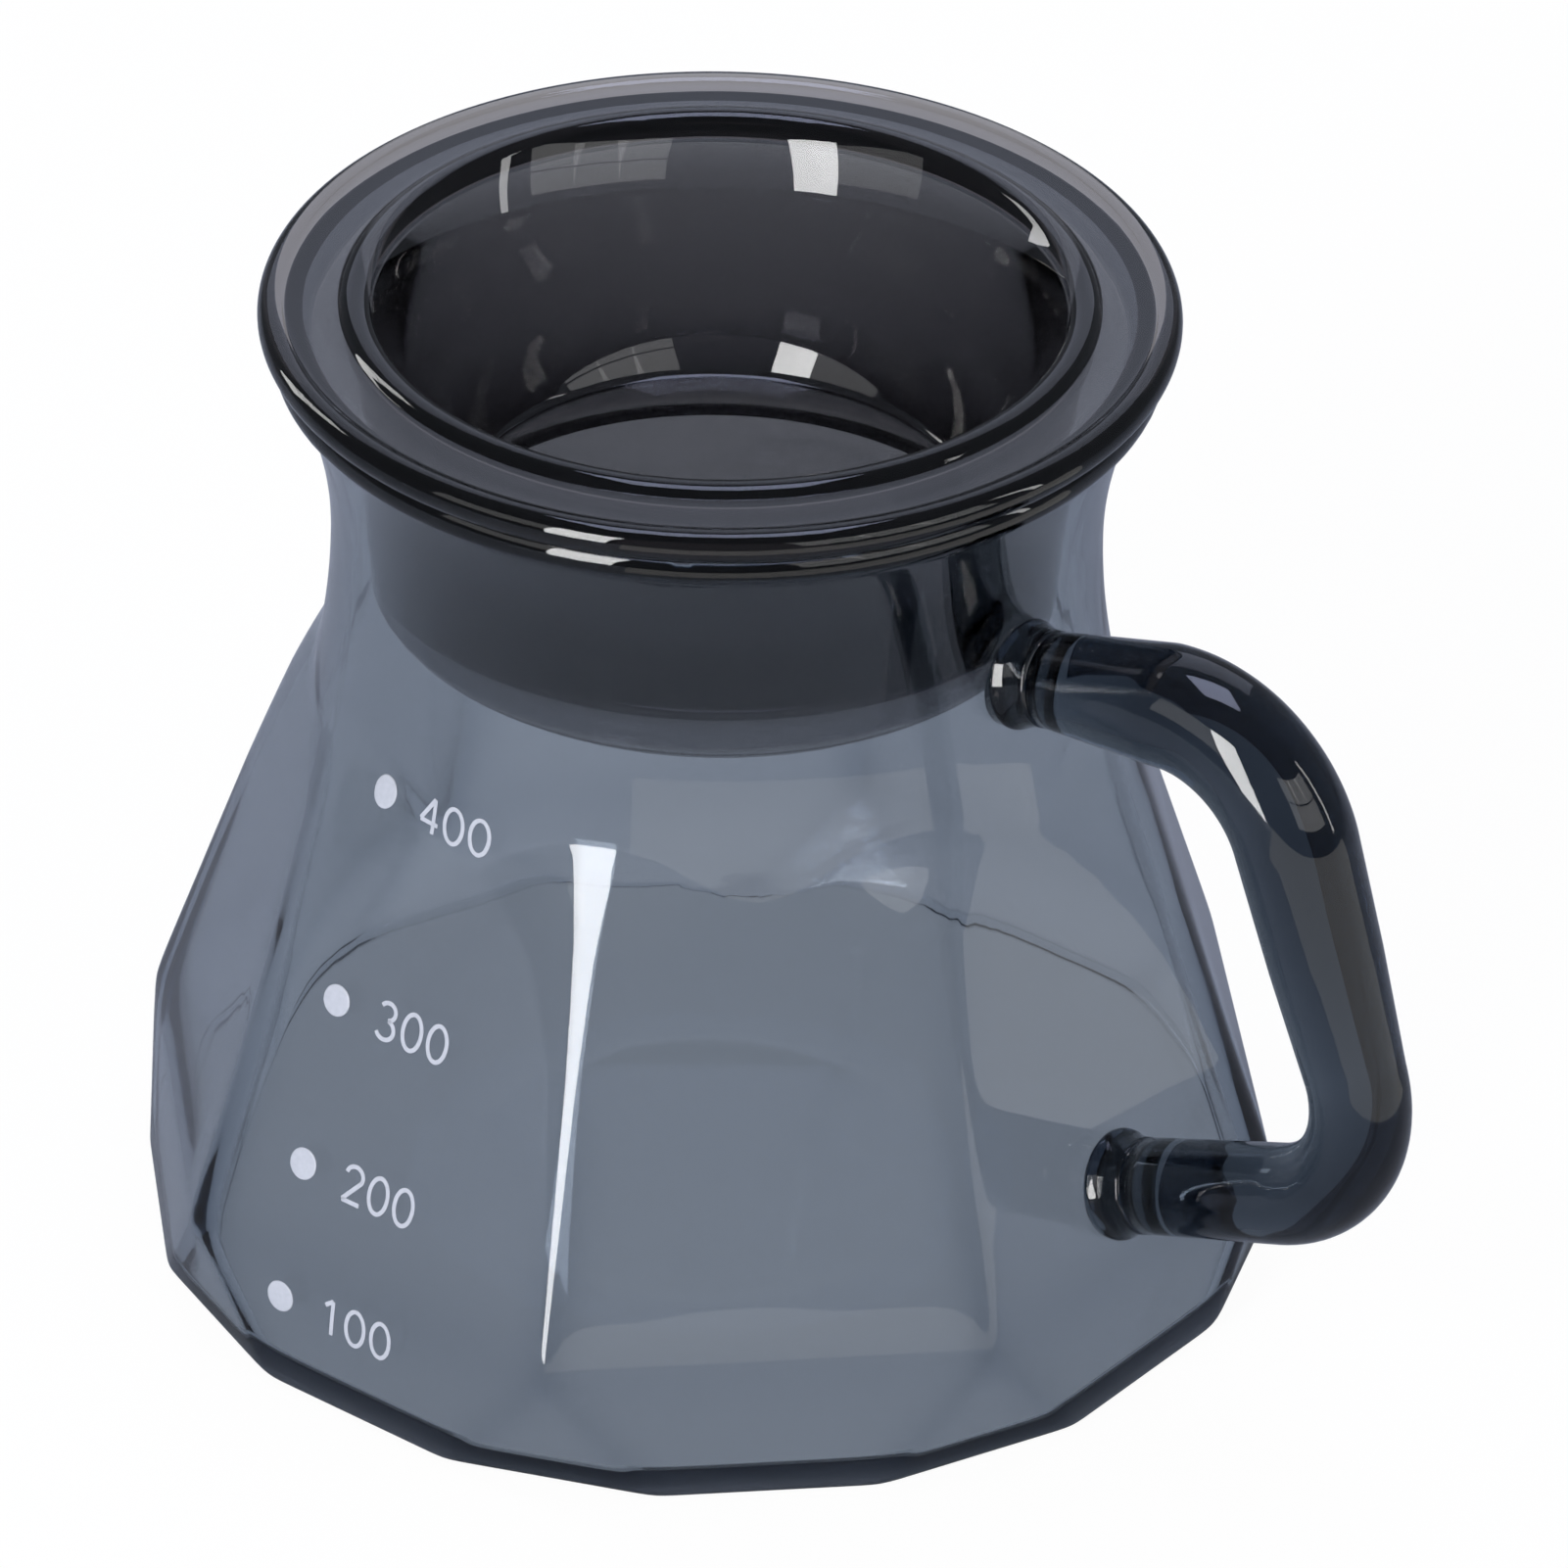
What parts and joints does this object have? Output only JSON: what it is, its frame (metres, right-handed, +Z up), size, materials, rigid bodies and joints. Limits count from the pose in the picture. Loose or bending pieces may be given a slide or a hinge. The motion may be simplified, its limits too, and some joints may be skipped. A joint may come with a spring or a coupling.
{
  "type": "coffee server carafe",
  "caption": "Smoked glass coffee server with a wide faceted body, a drawn-in round neck, a closed rod handle fused to the side and a thick cup-shaped glass lid.",
  "frame": {"origin": "centre of the base, in the plane it rests on", "axes": "+Z up along the axis of the vessel, +X out along the handle, the volume marks on the facet that faces -Y"},
  "size_m": [0.1433, 0.1126, 0.106],
  "materials": {
    "vessel_glass": "polished",
    "handle_glass": "polished",
    "lid_glass": "polished",
    "enamel": "satin"
  },
  "bodies": {
    "server": {"vessel": "vessel_glass", "upper_handle_root": "handle_glass", "lower_handle_root": "handle_glass", "handle_rod": "handle_glass", "dot_100": "enamel", "dot_200": "enamel", "dot_300": "enamel", "dot_400": "enamel"},
    "lid": {"lid": "lid_glass"}
  },
  "joints": [
    {"name": "lid_lift", "type": "slide", "parent": "server", "child": "lid", "axis": [0, 0, 1], "range_m": [0, 0.045]}
  ]
}
